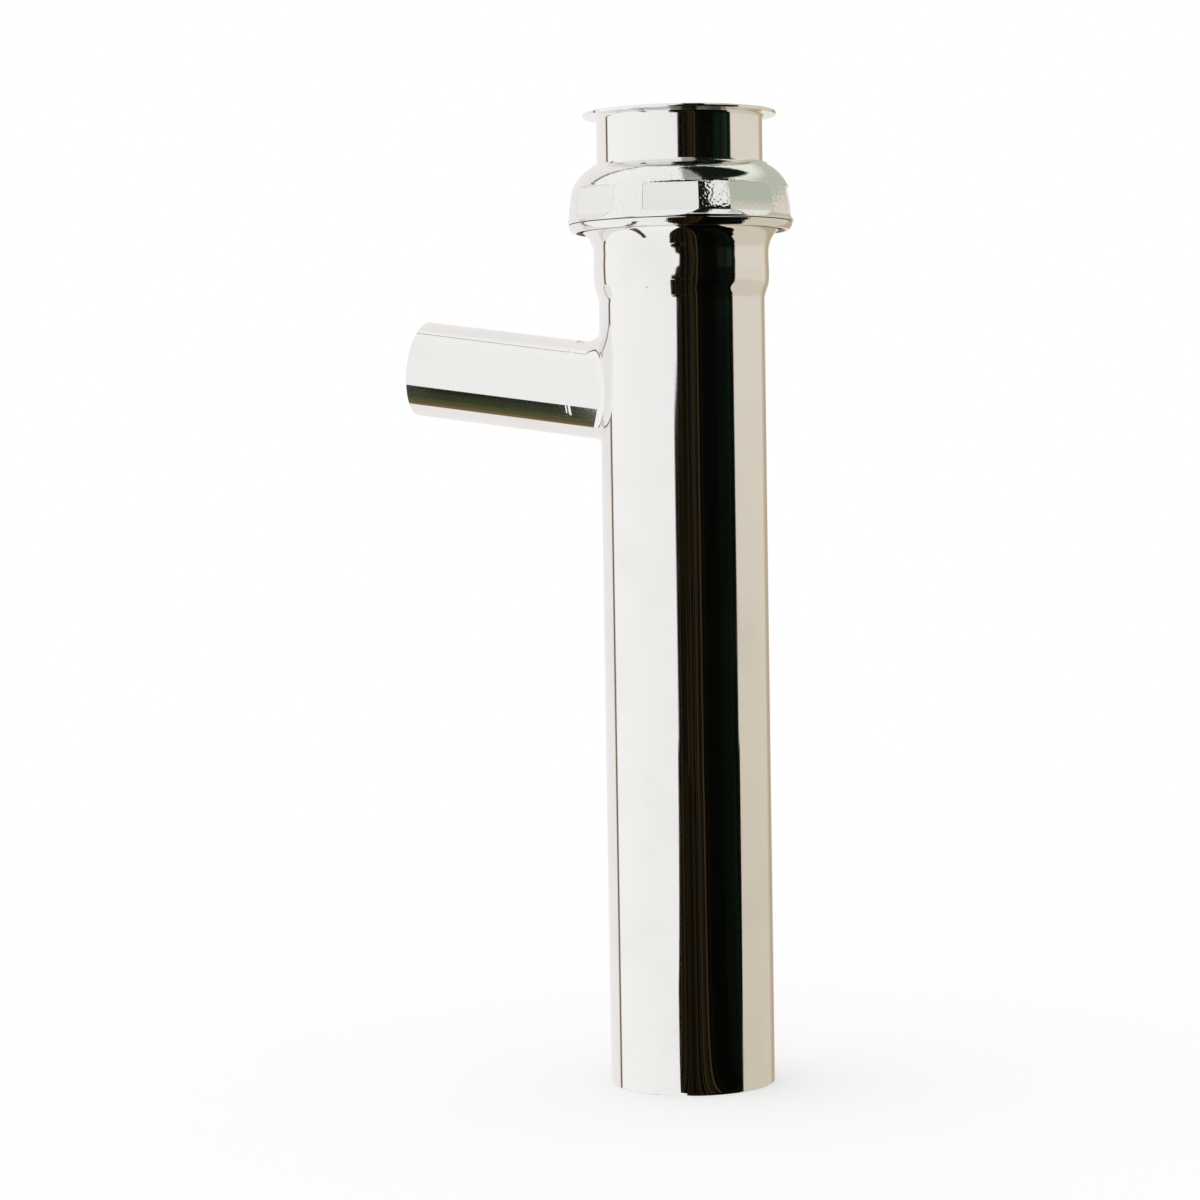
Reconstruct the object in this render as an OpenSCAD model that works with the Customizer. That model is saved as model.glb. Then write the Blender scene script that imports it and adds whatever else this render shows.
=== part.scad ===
// Branch tailpiece: a belled drain tube with a side branch, a slip nut and a flanged inlet tube.
// All sizes are in millimetres. Z runs up the tube, the branch points along -X,
// and the origin is the centre of the tube's lower end.

/* [Tube] */
// Outside diameter of the drain tube
tube_d = 38.1; // [34:0.1:40]
// Length of the drain tube, bell and threaded mouth included
tube_l = 203.2; // [180:0.1:260]
// Length of the lower end that is drawn to exact size
sized_l = 140; // [40:1:140]
// Wall of every tube
wall = 0.8; // [0.6:0.05:1.0]

/* [Bell] */
// Clearance all round the inlet tube inside the bell
bell_play = 0.3; // [0.3:0.05:0.6]
// Height of the threaded mouth at the top of the bell
mouth_h = 5.6; // [4:0.1:8]
// Outside radius of the mouth at the root of its thread
mouth_r = 22.5; // [22:0.1:23]
// Height over which the bell flares out to the mouth
flare_h = 5.6; // [4:0.1:8]
// Height of the plain part of the bell
bell_h = 7.0; // [5:0.1:12]
// Height of the shoulder between the tube and the bell
shoulder_h = 4.2; // [3:0.1:6]

/* [Branch] */
// Outside diameter of the branch
branch_d = 22.2; // [18:0.1:24]
// Height at which the branch axis meets the tube axis
branch_z = 157.6; // [120:0.1:160]
// Rise of the branch towards its open end, in degrees
branch_rise = 8; // [0:0.5:12]
// Distance from the tube axis to the open end of the branch
branch_reach = 65; // [50:0.5:80]
// Distance from the tube axis to the end of the drawn collar
collar_reach = 26.8; // [25:0.1:32]
// Rounding between the tube and the collar, above the branch
fillet_top = 3.9; // [2:0.1:5]
// Rounding between the tube and the collar, below the branch
fillet_bottom = 2.6; // [2:0.1:5]
// Length of the reduced end of the branch inside the collar
spigot_l = 4.5; // [3:0.1:6]
// Height of the braze bead above the branch
bead_h = 0.22; // [0.1:0.02:0.4]
// Width of the braze bead
bead_w = 1.6; // [1:0.1:3]
// Depth of the chamfer at the seam that the braze fills
seam_chamfer = 0.25; // [0.1:0.05:0.4]

/* [Slip nut] */
// Largest radius of the nut, at its lower rim
nut_r = 26.1; // [25.9:0.1:27]
// Height of the nut
nut_h = 15.3; // [15:0.1:16]
// Radius of the nut's side, where the dome begins
nut_side_r = 25.5; // [25.3:0.1:25.8]
// Radius of the dome in section
dome_round = 9.9; // [9:0.1:11]
// Number of wrench flats
flats = 8; // [6:1:8]
// Distance from the axis to a flat, at its middle
flat_r = 24.75; // [24.7:0.05:25]
// Height of a flat
flat_h = 6; // [5:0.1:6.5]
// Draft of the flats, in degrees
flat_draft = 7.5; // [0:0.5:8]
// Turn of the flats about the axis, in degrees
flat_turn = 7.5; // [0:0.5:45]
// Radius of the nut's bore at the root of its thread
nut_bore_r = 23.5; // [23.3:0.1:23.7]
// Radius of the opening in the nut's top
nut_lip_r = 19.6; // [19.4:0.1:20]

/* [Inlet tube] */
// Length of the flanged inlet tube
inlet_l = 39.5; // [36:0.1:60]
// Radius of its rolled flange
flange_r = 22.2; // [21.5:0.1:23]
// Radius of the bend under the flange
flange_bend = 1.0; // [0.8:0.1:1.5]

/* [Washer] */
// Height of the bevelled washer
washer_h = 6.1; // [5.8:0.1:6.2]
// Outside radius of the washer
washer_r = 22.4; // [22:0.1:22.5]
// Running clearance of the washer on the inlet tube
washer_fit = 0.08; // [0.05:0.01:0.1]

/* [Hidden] */

round_fn = 96;
tube_r = tube_d / 2;
tube_bore = tube_r - wall;

// Above its sized end the tube is fuller by a hair, which it gains over a short taper
upper_r = tube_r + 0.02;
size_taper = 1;

branch_r = branch_d / 2;
branch_bore = branch_r - wall;

// Heights up the belled end, from the mouth's rim down to the shoulder's foot
mouth_z = tube_l - mouth_h;
flare_z = mouth_z - flare_h;
bell_z = flare_z - bell_h;
shoulder_z = bell_z - shoulder_h;
bell_r = tube_r + bell_play + wall;
curve_steps = 8;

// Joint between the collar and the reduced end of the branch
braze_gap = 0.05;
spigot_r = branch_bore - braze_gap;
spigot_bore = spigot_r - wall;
neck_down = 1.5;

// Rings and steps of the rounding between tube and collar, and how deep its edges bite into the walls
neck_rings = 72;
neck_steps = 7;
neck_bite = 0.04;

// The bevelled washer lies on the mouth's rim, and the nut's lip lies on the washer
seat_play = 0.05;
washer_z = tube_l + seat_play;
washer_side = 0.48 * washer_h;
washer_top_r = 20.6;
nut_lip_h = 2.4;
nut_cone_play = 0.2;
nut_z = washer_z + washer_h + seat_play + nut_lip_h - nut_h;
nut_top_z = nut_z + nut_h;

// The inlet tube stands just clear of the shoulder inside the bell
inlet_z = shoulder_z + 0.8 * shoulder_h;
inlet_top_z = inlet_z + inlet_l;

chrome = [0.86, 0.86, 0.85];
cast_chrome = [0.78, 0.79, 0.78];
rubber = [0.12, 0.12, 0.12];

// A soft step from 0 to 1
function ease(t) = (1 - cos(180 * t)) / 2;

// Points of an arc about a centre, from one angle to another
function arc(centre, r, from, to, steps) =
    [for (i = [0 : steps]) let (a = from + (to - from) * i / steps)
        centre + r * [cos(a), sin(a)]];

// Outline of the drain tube from its axis, drawn inwards by inset
function tube_outline(inset) = concat(
    [[0, 0], [tube_r - inset, 0], [tube_r - inset, sized_l], [upper_r - inset, sized_l + size_taper]],
    [for (i = [0 : curve_steps]) let (t = i / curve_steps)
        [upper_r - inset + (bell_r - upper_r) * ease(t), shoulder_z + shoulder_h * t]],
    arc([bell_r - inset + flare_h, flare_z], flare_h, 180, 180 - flare_angle, curve_steps),
    [[mouth_r - inset, mouth_z], [mouth_r - inset, tube_l], [0, tube_l]]);

// The flare is part of an arc that reaches the mouth's radius
flare_angle = acos(1 - (mouth_r - bell_r) / flare_h);

// Direction of the branch, its side direction and the one across both
branch_dir = [-cos(branch_rise), 0, sin(branch_rise)];
branch_up = [sin(branch_rise), 0, cos(branch_rise)];
branch_side = [0, 1, 0];
branch_from = [0, 0, branch_z];

// Direction from the branch axis to its wall, at an angle from the top
function spoke(a) = cos(a) * branch_up + sin(a) * branch_side;

// Radius of the ball that rolls in the corner between tube and collar
function ball_r(a) = (fillet_top + fillet_bottom) / 2 + (fillet_top - fillet_bottom) / 2 * cos(a);

// Centre of that ball: it touches the branch's cylinder and the tube's cylinder
function ball_centre(a) =
    let (s = (branch_r + ball_r(a)) * spoke(a),
         p = branch_dir[0],
         half = s[0] * p,
         gap = s[0] * s[0] + s[1] * s[1] - pow(upper_r + ball_r(a), 2),
         along = (-half + sqrt(half * half - p * p * gap)) / (p * p))
    branch_from + s + along * branch_dir;

// A direction part of the way between two others
function between(u, v, t) =
    let (w = acos(u * v))
    (sin((1 - t) * w) * u + sin(t * w) * v) / sin(w);

// One ring of points round the neck, t = 0 on the collar and t = 1 on the tube
function neck_ring(t, depth) =
    [for (i = [0 : neck_rings - 1])
        let (a = 360 * i / neck_rings,
             c = ball_centre(a),
             n = [c[0], c[1], 0] / norm([c[0], c[1]]))
        c + (ball_r(a) + depth) * between(-spoke(a), -n, t)];

// The neck between collar and tube: a filled trumpet whose side is the ball's rolling surface
module neck(depth) {
    rings = [for (j = [0 : neck_steps]) neck_ring(j / neck_steps, depth)];
    points = concat([branch_from + branch_dir * collar_reach * 0.6, branch_from],
        [for (ring = rings) each ring]);
    function at(j, i) = 2 + j * neck_rings + i % neck_rings;
    faces = concat(
        [for (i = [0 : neck_rings - 1]) [0, at(0, i), at(0, i + 1)]],
        [for (j = [0 : neck_steps - 1], i = [0 : neck_rings - 1]) [at(j, i), at(j + 1, i), at(j + 1, i + 1)]],
        [for (j = [0 : neck_steps - 1], i = [0 : neck_rings - 1]) [at(j, i), at(j + 1, i + 1), at(j, i + 1)]],
        [for (i = [0 : neck_rings - 1]) [1, at(neck_steps, i + 1), at(neck_steps, i)]]);
    polyhedron(points = points, faces = faces);
}

// Puts children that stand on Z onto the branch's axis
module on_branch() {
    translate(branch_from)
        rotate([0, branch_rise - 90, 0])
            children();
}

// The drain tube with its bell, its threaded mouth and the collar drawn from its wall
module body_tube() {
    color(chrome)
        difference() {
            union() {
                rotate_extrude($fn = round_fn)
                    polygon(tube_outline(0));
                neck(neck_bite);
                on_branch()
                    cylinder(h = collar_reach, r = branch_r, $fn = round_fn);
            }
            rotate_extrude($fn = round_fn)
                polygon(tube_outline(wall));
            neck(wall + neck_bite);
            on_branch()
                cylinder(h = collar_reach + 1, r = branch_bore, $fn = round_fn);
        }
}

// The branch: a straight tube whose end is reduced to fit inside the collar, with a chamfer for the braze
module branch_tube() {
    spigot_z = collar_reach - spigot_l;
    chamfer_end = collar_reach + bead_w / 2 + 0.1;
    color(chrome)
        on_branch()
            rotate_extrude($fn = round_fn)
                polygon([
                    [spigot_bore, spigot_z],
                    [spigot_r, spigot_z],
                    [spigot_r, collar_reach],
                    [branch_r - seam_chamfer, collar_reach],
                    [branch_r, chamfer_end],
                    [branch_r, branch_reach],
                    [branch_bore, branch_reach],
                    [branch_bore, collar_reach + neck_down],
                    [spigot_bore, collar_reach]]);
}

// The bead of braze round the seam: it fills the chamfer and stands a little proud
module braze_fillet() {
    bead_arc_r = (bead_w * bead_w / 4 + bead_h * bead_h) / (2 * bead_h);
    half = asin(bead_w / 2 / bead_arc_r);
    color(chrome)
        on_branch()
            rotate_extrude($fn = round_fn)
                polygon(concat(
                    arc([branch_r + bead_h - bead_arc_r, collar_reach], bead_arc_r, -half, half, 6),
                    [[branch_r - seam_chamfer, collar_reach],
                     [branch_r, collar_reach]]));
}

// Outside of the nut from the foot up: rounded foot, rim, side and dome
module nut_outside() {
    foot_round = 1.0;
    foot_r = nut_r - 0.9;
    rim_round = 2.2;
    rim_z = nut_z + 3.5;
    dome_r = nut_side_r - dome_round;
    dome_end = acos((nut_lip_r - dome_r) / dome_round);
    dome_z = nut_top_z - dome_round * sin(dome_end);
    rotate_extrude($fn = round_fn)
        polygon(concat(
            [[0, nut_z]],
            arc([foot_r - foot_round, nut_z + foot_round], foot_round, -90, -20, 5),
            arc([nut_r - rim_round, rim_z], rim_round, -35, 20, 5),
            arc([dome_r, dome_z], dome_round, 0, dome_end, 12),
            [[0, nut_top_z]]));
}

// Inside of the nut: open mouth, thread's root, cone over the washer and the lip's opening
module nut_inside() {
    mouth_lead = 0.6;
    cone_r = washer_r + nut_cone_play;
    cone_z = washer_z + washer_side;
    lip_z = nut_top_z - nut_lip_h;
    rotate_extrude($fn = round_fn)
        polygon([
            [0, nut_z - 1],
            [nut_bore_r + mouth_lead + 1, nut_z - 1],
            [nut_bore_r, nut_z + mouth_lead],
            [nut_bore_r, cone_z - 0.8],
            [cone_r, cone_z],
            [washer_top_r + nut_cone_play, lip_z],
            [nut_lip_r, lip_z],
            [nut_lip_r, nut_top_z + 1],
            [0, nut_top_z + 1]]);
}

// The cast slip nut with its wrench flats
module slip_nut() {
    flat_z = nut_z + 6.9;
    cut = 4;
    color(cast_chrome)
        difference() {
            nut_outside();
            nut_inside();
            for (i = [0 : flats - 1])
                rotate(flat_turn + 360 * i / flats)
                    translate([flat_r, 0, flat_z])
                        rotate([0, -flat_draft, 0])
                            translate([cut / 2, 0, 0])
                                cube([cut, flat_r, flat_h], center = true);
        }
}

// The rubber washer: flat below, bevelled above
module slip_washer() {
    bore = tube_r + washer_fit;
    color(rubber)
        rotate_extrude($fn = round_fn)
            polygon([
                [bore, washer_z],
                [washer_r, washer_z],
                [washer_r, washer_z + washer_side],
                [washer_top_r, washer_z + washer_h],
                [bore, washer_z + washer_h]]);
}

// The short inlet tube, its top rolled outwards into a flat flange
module flanged_tailpiece() {
    bend_centre = [tube_r + flange_bend, inlet_top_z - wall - flange_bend];
    color(chrome)
        rotate_extrude($fn = round_fn)
            polygon(concat(
                [[tube_bore, inlet_z], [tube_r, inlet_z]],
                arc(bend_centre, flange_bend, 180, 90, 6),
                [[flange_r, inlet_top_z - wall], [flange_r, inlet_top_z]],
                arc(bend_centre, flange_bend + wall, 90, 180, 8)));
}

body_tube();
branch_tube();
braze_fillet();
slip_nut();
slip_washer();
flanged_tailpiece();
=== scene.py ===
"""Branch tailpiece: the plated tube, branch, slip nut, washer and flanged inlet tube, dressed for a render.

Every size is in millimetres in the tables of each class and in metres in the meshes, in the CAD's own frame:
Z up the tube, the branch towards -X, the origin at the centre of the tube's lower end.
"""

import logging
import math
from collections.abc import Callable, Iterable, Sequence
from dataclasses import dataclass, field
from enum import Enum

import bmesh
import bpy
from mathutils import Matrix, Vector, kdtree


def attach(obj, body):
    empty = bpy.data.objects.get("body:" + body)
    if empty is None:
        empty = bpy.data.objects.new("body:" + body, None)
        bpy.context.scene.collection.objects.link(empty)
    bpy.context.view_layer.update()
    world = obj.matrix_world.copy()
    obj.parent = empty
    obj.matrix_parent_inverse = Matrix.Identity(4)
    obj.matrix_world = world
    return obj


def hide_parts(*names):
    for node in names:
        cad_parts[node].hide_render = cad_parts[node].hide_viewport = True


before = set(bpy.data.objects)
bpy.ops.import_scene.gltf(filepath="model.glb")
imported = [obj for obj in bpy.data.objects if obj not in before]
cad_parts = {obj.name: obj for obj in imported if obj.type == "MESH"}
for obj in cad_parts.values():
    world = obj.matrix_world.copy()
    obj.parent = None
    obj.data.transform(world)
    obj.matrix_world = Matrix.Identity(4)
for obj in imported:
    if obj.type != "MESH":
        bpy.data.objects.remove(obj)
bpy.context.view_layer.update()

LOG = logging.getLogger("branch_tailpiece")
MM = 0.001
FULL_TURN = 2 * math.pi

Point = tuple[float, float]


class Body(Enum):
    """The CAD bodies that the pieces ride on."""

    DRAIN = "drain_tube"
    WASHER = "washer"
    NUT = "nut"
    INLET = "inlet_tube"


class Slot(Enum):
    """The record's material slots."""

    TUBE = "plated_tube"
    CASTING = "plated_casting"
    RUBBER = "black_rubber"


# Outlines


def arc(centre: Point, radius: float, start: float, end: float, steps: int) -> list[Point]:
    """Points of an arc, from one angle to another.

    Args:
        centre: centre of the arc, as radius and height in millimetres.
        radius: radius of the arc in millimetres.
        start: first angle in degrees.
        end: last angle in degrees.
        steps: number of straight steps.

    Returns:
        The points, both ends included.
    """
    found = []
    for i in range(steps + 1):
        angle = math.radians(start + (end - start) * i / steps)
        found.append((centre[0] + radius * math.cos(angle), centre[1] + radius * math.sin(angle)))
    return found


def rise(radius_low: float, radius_high: float, low: float, high: float, steps: int) -> list[Point]:
    """Points of a soft shoulder that eases from one radius to another.

    Args:
        radius_low: radius at the foot, in millimetres.
        radius_high: radius at the top.
        low: height of the foot.
        high: height of the top.
        steps: number of straight steps.

    Returns:
        The points, both ends included.
    """
    found = []
    for i in range(steps + 1):
        share = i / steps
        eased = (1 - math.cos(math.pi * share)) / 2
        found.append((radius_low + (radius_high - radius_low) * eased, low + (high - low) * share))
    return found


def straight(start: Point, end: Point, steps: int) -> list[Point]:
    """Evenly spaced points from one place to another, both ends included."""
    return [
        (start[0] + (end[0] - start[0]) * i / steps, start[1] + (end[1] - start[1]) * i / steps)
        for i in range(steps + 1)
    ]


def chained(*runs: Sequence[Point]) -> list[Point]:
    """Joins runs of points into one outline.

    Args:
        runs: the runs, in order.

    Returns:
        The outline, without points that repeat the one before.
    """
    outline: list[Point] = []
    for run in runs:
        for point in run:
            if not outline or math.dist(outline[-1], point) > 1e-4:
                outline.append(point)
    return outline


# Workbench


@dataclass(frozen=True)
class Axis:
    """The line that a turned piece is spun about."""

    start: Vector = Vector((0, 0, 0))
    along: Vector = Vector((0, 0, 1))
    out: Vector = Vector((1, 0, 0))

    def place(self, point: Point) -> Vector:
        """The place in metres of an outline's point, given as radius and distance along the axis."""
        return (self.start + self.out * point[0] + self.along * point[1]) * MM


class Workbench:
    """Operators of the mesh editor, as they are used by hand."""

    @staticmethod
    def put_down() -> None:
        """Leaves edit mode and selects nothing."""
        if bpy.context.object and bpy.context.object.mode != "OBJECT":
            bpy.ops.object.mode_set(mode="OBJECT")
        for thing in bpy.context.selected_objects:
            thing.select_set(False)

    @staticmethod
    def pick_up(piece: bpy.types.Object, edit: bool = False) -> None:
        """Makes a piece the active and only selected one.

        Args:
            piece: the piece.
            edit: whether edit mode is entered, with nothing selected in it.
        """
        Workbench.put_down()
        piece.select_set(True)
        bpy.context.view_layer.objects.active = piece
        if edit:
            bpy.ops.object.mode_set(mode="EDIT")
            bpy.ops.mesh.select_all(action="DESELECT")

    @staticmethod
    def select(piece: bpy.types.Object, kind: str, wanted: Callable) -> int:
        """Selects the vertices, edges or faces that pass a test, in edit mode.

        Args:
            piece: the piece in edit mode.
            kind: "VERT", "EDGE" or "FACE".
            wanted: the test, given one element.

        Returns:
            How many were selected.
        """
        bpy.ops.mesh.select_mode(type=kind)
        bpy.ops.mesh.select_all(action="DESELECT")
        cage = bmesh.from_edit_mesh(piece.data)
        elements = {"VERT": cage.verts, "EDGE": cage.edges, "FACE": cage.faces}[kind]
        count = 0
        for element in elements:
            if wanted(element):
                element.select_set(True)
                count += 1
        cage.select_flush_mode()
        bmesh.update_edit_mesh(piece.data)
        return count

    @staticmethod
    def draw(name: str, outline: Sequence[Point], axis: Axis, closed: bool) -> bpy.types.Object:
        """Draws a line of edges by extruding one corner from point to point.

        Args:
            name: name of the new object.
            outline: its points, as radius and distance along the axis.
            axis: the axis that they belong to.
            closed: whether the line comes back to its start.

        Returns:
            The object, in edit mode, with all of the line selected.
        """
        Workbench.put_down()
        bpy.ops.mesh.primitive_plane_add(size=MM, location=(0, 0, 0))
        piece = bpy.context.object
        piece.name = piece.data.name = name
        bpy.ops.object.mode_set(mode="EDIT")
        bpy.ops.mesh.select_mode(type="VERT")
        bpy.ops.mesh.select_all(action="SELECT")
        bpy.ops.mesh.merge(type="CENTER")
        places = [axis.place(point) for point in outline]
        if closed:
            places.append(places[0].copy())
        bpy.ops.transform.translate(value=places[0])
        for here, there in zip(places, places[1:]):
            bpy.ops.mesh.extrude_region_move(TRANSFORM_OT_translate={"value": there - here})
        bpy.ops.mesh.select_all(action="SELECT")
        bpy.ops.mesh.remove_doubles(threshold=1e-7)
        return piece

    @staticmethod
    def turn(name: str, outline: Sequence[Point], axis: Axis = Axis(), steps: int = 192,
             closed: bool = True) -> bpy.types.Object:
        """Turns a piece on the lathe: draws its outline and spins it once round.

        Args:
            name: name of the new object.
            outline: its points, as radius and distance along the axis.
            axis: the axis to spin about.
            steps: number of steps round.
            closed: whether the outline comes back to its start.

        Returns:
            The turned piece, in object mode.
        """
        piece = Workbench.draw(name, outline, axis, closed)
        bpy.ops.mesh.spin(steps=steps, angle=FULL_TURN, center=axis.start * MM, axis=axis.along)
        Workbench.close_up(piece)
        bpy.ops.object.mode_set(mode="OBJECT")
        return piece

    @staticmethod
    def close_up(piece: bpy.types.Object) -> None:
        """Merges doubled corners and turns every face outwards, in edit mode."""
        bpy.ops.mesh.select_mode(type="VERT")
        bpy.ops.mesh.select_all(action="SELECT")
        bpy.ops.mesh.remove_doubles(threshold=2e-6)
        bpy.ops.mesh.normals_make_consistent(inside=False)
        bmesh.update_edit_mesh(piece.data)

    @staticmethod
    def smooth(piece: bpy.types.Object, angle: float = 30) -> None:
        """Shades a piece smooth but keeps edges sharper than an angle in degrees, and long faces true."""
        Workbench.pick_up(piece)
        bpy.ops.object.shade_smooth_by_angle(angle=math.radians(angle))
        Workbench.apply(piece, "WEIGHTED_NORMAL", mode="FACE_AREA", weight=100, keep_sharp=True)

    @staticmethod
    def apply(piece: bpy.types.Object, kind: str, **settings: object) -> None:
        """Adds a modifier, sets it and applies it.

        Args:
            piece: the piece.
            kind: the modifier's type.
            settings: its settings by name.
        """
        Workbench.pick_up(piece)
        modifier = piece.modifiers.new(kind.title(), kind)
        for key, value in settings.items():
            setattr(modifier, key, value)
        bpy.ops.object.modifier_apply(modifier=modifier.name)

    @staticmethod
    def join(piece: bpy.types.Object, *others: bpy.types.Object) -> None:
        """Joins other objects into a piece, which keeps its name."""
        Workbench.pick_up(piece)
        for other in others:
            other.select_set(True)
        bpy.ops.object.join()


def reshape(piece: bpy.types.Object, move: Callable[[Vector], Vector | None]) -> None:
    """Moves the corners of a finished mesh, as a light touch with a sculpting tool.

    Args:
        piece: the piece, in object mode.
        move: gives a corner's new place from its place, or None to leave it.
    """
    for corner in piece.data.vertices:
        moved = move(corner.co.copy())
        if moved is not None:
            corner.co = moved
    piece.data.update()


@dataclass(frozen=True)
class ThreadRidge:
    """The ridge of a thread, swept along its helix.

    The ridge is a bar whose root is sunk in the wall that carries it. It runs out at both ends.
    """

    root: float
    crest: float
    low: float
    high: float
    phase: float = 0.0
    pitch: float = 2.2087
    root_width: float = 1.35
    crest_width: float = 0.45
    sink: float = 0.12
    steps: int = 96
    runout: float = 50.0

    def build(self, name: str) -> bpy.types.Object:
        """Sweeps the ridge.

        Args:
            name: name of the new object.

        Returns:
            The ridge, in object mode.
        """
        outwards = 1 if self.crest > self.root else -1
        half_root, half_crest = self.root_width / 2, self.crest_width / 2
        slope = (half_root - half_crest) / abs(self.crest - self.root)
        sunk = half_root + slope * self.sink
        foot = self.root - outwards * self.sink
        body = self.crest - outwards * 0.08
        outline = [(foot, -sunk), (body, -half_crest - slope * 0.08), (self.crest, -half_crest * 0.6),
                   (self.crest, half_crest * 0.6), (body, half_crest + slope * 0.08), (foot, sunk)]
        start = Axis(start=Vector((0, 0, self.low + half_root)))
        ridge = Workbench.draw(name, outline, start, closed=True)
        bpy.ops.object.mode_set(mode="OBJECT")
        travel = self.high - self.low - 2 * half_root
        turns = travel / self.pitch
        count = round(turns * self.steps)
        Workbench.apply(ridge, "SCREW", axis="Z", angle=FULL_TURN * turns, screw_offset=travel * MM,
                        iterations=1, steps=count, render_steps=count, use_merge_vertices=False)
        Workbench.pick_up(ridge, edit=True)
        bpy.ops.mesh.select_mode(type="EDGE")
        bpy.ops.mesh.select_non_manifold()
        bpy.ops.mesh.edge_face_add()
        Workbench.close_up(ridge)
        bpy.ops.object.mode_set(mode="OBJECT")
        reshape(ridge, lambda place: self.run_out(place, turns, travel))
        turn = Matrix.Rotation(math.radians(self.phase), 4, "Z")
        ridge.data.transform(turn)
        return ridge

    def run_out(self, place: Vector, turns: float, travel: float) -> Vector:
        """Sinks the ends of the ridge into the wall.

        Args:
            place: a corner of the ridge in metres.
            turns: how many turns the ridge has.
            travel: how far it rises, in millimetres.

        Returns:
            The corner's new place.
        """
        angle = math.degrees(math.atan2(place.y, place.x)) % 360
        height = place.z / MM - self.low - self.root_width / 2
        turned = 360 * turns * height / travel
        swept = angle + 360 * round((turned - angle) / 360)
        from_end = min(swept, 360 * turns - swept)
        share = max(0.0, min(1.0, from_end / self.runout))
        eased = share * share * (3 - 2 * share)
        radius = math.hypot(place.x, place.y) / MM
        foot = self.root - (1 if self.crest > self.root else -1) * self.sink
        new = foot + (radius - foot) * eased
        return Vector((place.x * new / radius, place.y * new / radius, place.z))


# The neck of the branch


@dataclass(frozen=True)
class BranchLine:
    """Where the branch stands on the tube."""

    height: float = 157.6
    rise: float = 8.0
    tube_r: float = 19.07
    collar_r: float = 11.1

    @property
    def along(self) -> Vector:
        """Direction of the branch."""
        return Vector((-math.cos(math.radians(self.rise)), 0, math.sin(math.radians(self.rise))))

    @property
    def up(self) -> Vector:
        """Direction across the branch, upwards."""
        return Vector((math.sin(math.radians(self.rise)), 0, math.cos(math.radians(self.rise))))

    @property
    def start(self) -> Vector:
        """Where the branch's axis meets the tube's, in millimetres."""
        return Vector((0, 0, self.height))

    def axis(self) -> Axis:
        """The branch's axis, for the lathe."""
        return Axis(self.start, self.along, self.up)

    def spoke(self, angle: float) -> Vector:
        """Direction from the branch's axis to its wall, at an angle in radians from the top."""
        return self.up * math.cos(angle) + Vector((0, 1, 0)) * math.sin(angle)


@dataclass(frozen=True)
class Neck:
    """The rounded corner between tube and collar, which a ball rolls out as it goes round the branch."""

    line: BranchLine = BranchLine()
    top_round: float = 3.9
    bottom_round: float = 2.6

    def ball_r(self, angle: float) -> float:
        """Radius of the ball at an angle in radians from the top of the branch."""
        mean = (self.top_round + self.bottom_round) / 2
        return mean + (self.top_round - self.bottom_round) / 2 * math.cos(angle)

    def ball_centre(self, angle: float) -> Vector:
        """Centre of the ball, which touches both walls.

        Args:
            angle: angle in radians from the top of the branch.

        Returns:
            The centre in millimetres.
        """
        line, ball = self.line, self.ball_r(angle)
        side = line.spoke(angle) * (line.collar_r + ball)
        slope = line.along.x
        half = side.x * slope
        gap = side.x ** 2 + side.y ** 2 - (line.tube_r + ball) ** 2
        reach = (-half + math.sqrt(half * half - slope * slope * gap)) / (slope * slope)
        return line.start + side + line.along * reach

    def corner(self, angle: float, share: float, depth: float) -> tuple[Vector, Vector]:
        """A point of the neck and the direction in which its surface faces.

        Args:
            angle: angle in radians from the top of the branch.
            share: 0 on the collar, 1 on the tube.
            depth: how far the point lies under the outside, in millimetres.

        Returns:
            The point in millimetres and the unit direction out of the metal's outer face.
        """
        centre = self.ball_centre(angle)
        to_collar = -self.line.spoke(angle)
        to_tube = -Vector((centre.x, centre.y, 0)).normalized()
        spread = to_collar.angle(to_tube)
        reach = (to_collar * math.sin((1 - share) * spread) + to_tube * math.sin(share * spread)) / math.sin(spread)
        return centre + reach * (self.ball_r(angle) + depth), -reach.normalized()


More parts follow.
